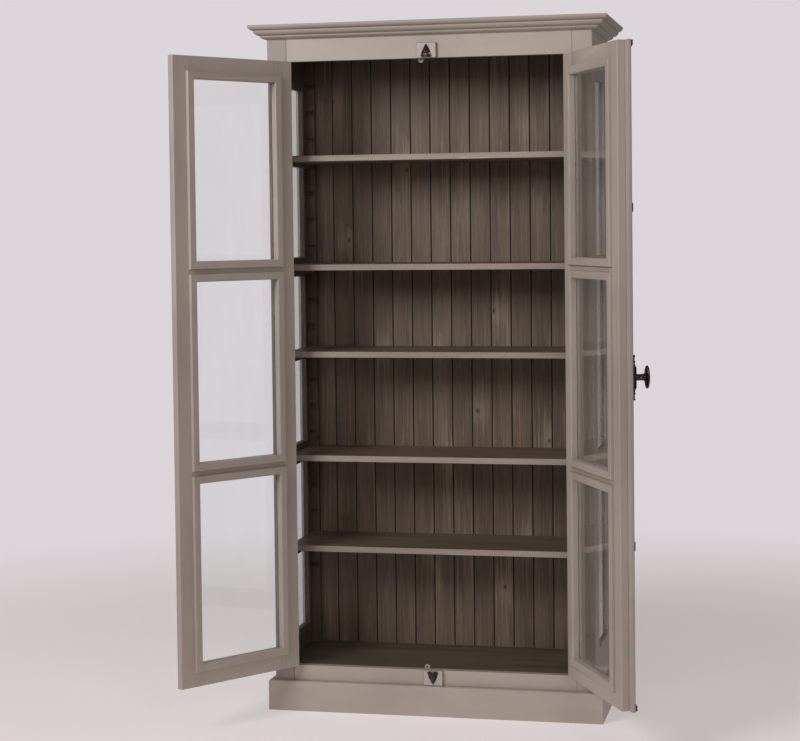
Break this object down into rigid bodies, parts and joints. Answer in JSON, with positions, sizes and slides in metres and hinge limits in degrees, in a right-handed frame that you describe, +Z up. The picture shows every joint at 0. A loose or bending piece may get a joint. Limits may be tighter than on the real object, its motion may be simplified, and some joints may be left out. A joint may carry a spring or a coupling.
{
  "type": "display cabinet",
  "caption": "Free-standing display cabinet with glazed doors and sides, a moulded cornice, a plinth, movable shelves on toothed racks and a surface bolt worked by a turning knob.",
  "frame": {"origin": "on the floor under the middle of the footprint, which runs from the plinth's front to the back", "axes": "+X to the right seen from the front, +Y from the front to the back, +Z up"},
  "size_m": [1.3207, 0.7525, 2],
  "materials": {
    "paint": "taupe satin paint on pine",
    "stained_pine": "grey-brown stain, matt",
    "glass": "clear",
    "black_iron": "black gloss",
    "steel": "bright",
    "clear_plastic": "milky"
  },
  "bodies": {
    "carcase": {"cornice_front": "paint", "cornice_left": "paint", "cornice_right": "paint", "top_board": "paint", "face_stile_left": "paint", "face_stile_right": "paint", "face_rail_top": "paint", "face_rail_bottom": "paint", "side_stiles_left": "paint", "side_stiles_right": "paint", "side_rails_left": "paint", "side_rails_right": "paint", "side_panes": "glass", "side_beads": "paint", "plinth_front": "paint", "plinth_left": "paint", "plinth_right": "paint", "plinth_back": "paint", "plinth_bearer": "paint", "bottom_board": "stained_pine", "back_boards": "stained_pine", "shelf_racks": "stained_pine", "shelf_cleats": "stained_pine", "shelf_1": "stained_pine", "shelf_2": "stained_pine", "shelf_3": "stained_pine", "shelf_4": "stained_pine", "shelf_5": "stained_pine", "keeper_pads": "paint", "bolt_keepers": "black_iron", "door_stops": "clear_plastic", "hinge_leaves_frame": "steel", "hinge_pins": "steel", "hinge_screws_frame": "steel"},
    "door_left": {"door_left_stile_hinge": "paint", "door_left_stile_meeting": "paint", "door_left_rail_top": "paint", "door_left_rail_bottom": "paint", "door_left_bars": "paint", "door_left_panes": "glass", "door_left_beads": "paint", "door_left_hinge_leaves": "steel", "door_left_hinge_screws": "steel"},
    "door_right": {"door_right_stile_hinge": "paint", "door_right_stile_meeting": "paint", "door_right_rail_top": "paint", "door_right_rail_bottom": "paint", "door_right_bars": "paint", "door_right_panes": "glass", "door_right_beads": "paint", "door_right_hinge_leaves": "steel", "door_right_hinge_screws": "steel", "astragal": "paint", "bolt_case": "black_iron", "bolt_guides": "black_iron", "bolt_end_guides": "black_iron"},
    "knob": {"bolt_knob": "black_iron", "bolt_pinion": "steel"},
    "rod_upper": {"bolt_rod_upper": "black_iron"},
    "rod_lower": {"bolt_rod_lower": "black_iron"}
  },
  "joints": [
    {"name": "door_left_swing", "type": "hinge", "parent": "carcase", "child": "door_left", "pos_m": [-0.41675, -0.1758, 1.0135], "axis": [0, 0, -1], "range_deg": [-125.7, 49.3]},
    {"name": "door_right_swing", "type": "hinge", "parent": "carcase", "child": "door_right", "pos_m": [0.41675, -0.1758, 1.0135], "axis": [0, 0, 1], "range_deg": [-117.8, 57.2]},
    {"name": "knob_turn", "type": "hinge", "parent": "door_right", "child": "knob", "pos_m": [0.62633, -0.53643, 1.0135], "axis": [0.8846, 0.4664, 0], "range_deg": [0, 180]},
    {"name": "rod_upper_slide", "type": "slide", "parent": "door_right", "child": "rod_upper", "axis": [0, 0, 1], "range_m": [0, 0.01885]},
    {"name": "rod_lower_slide", "type": "slide", "parent": "door_right", "child": "rod_lower", "axis": [0, 0, -1], "range_m": [0, 0.01885]}
  ],
  "couplings": [
    {"joint": "knob_turn", "follows": "rod_upper_slide", "rad_per_m": 166.67},
    {"joint": "rod_lower_slide", "follows": "rod_upper_slide", "ratio": 1}
  ]
}
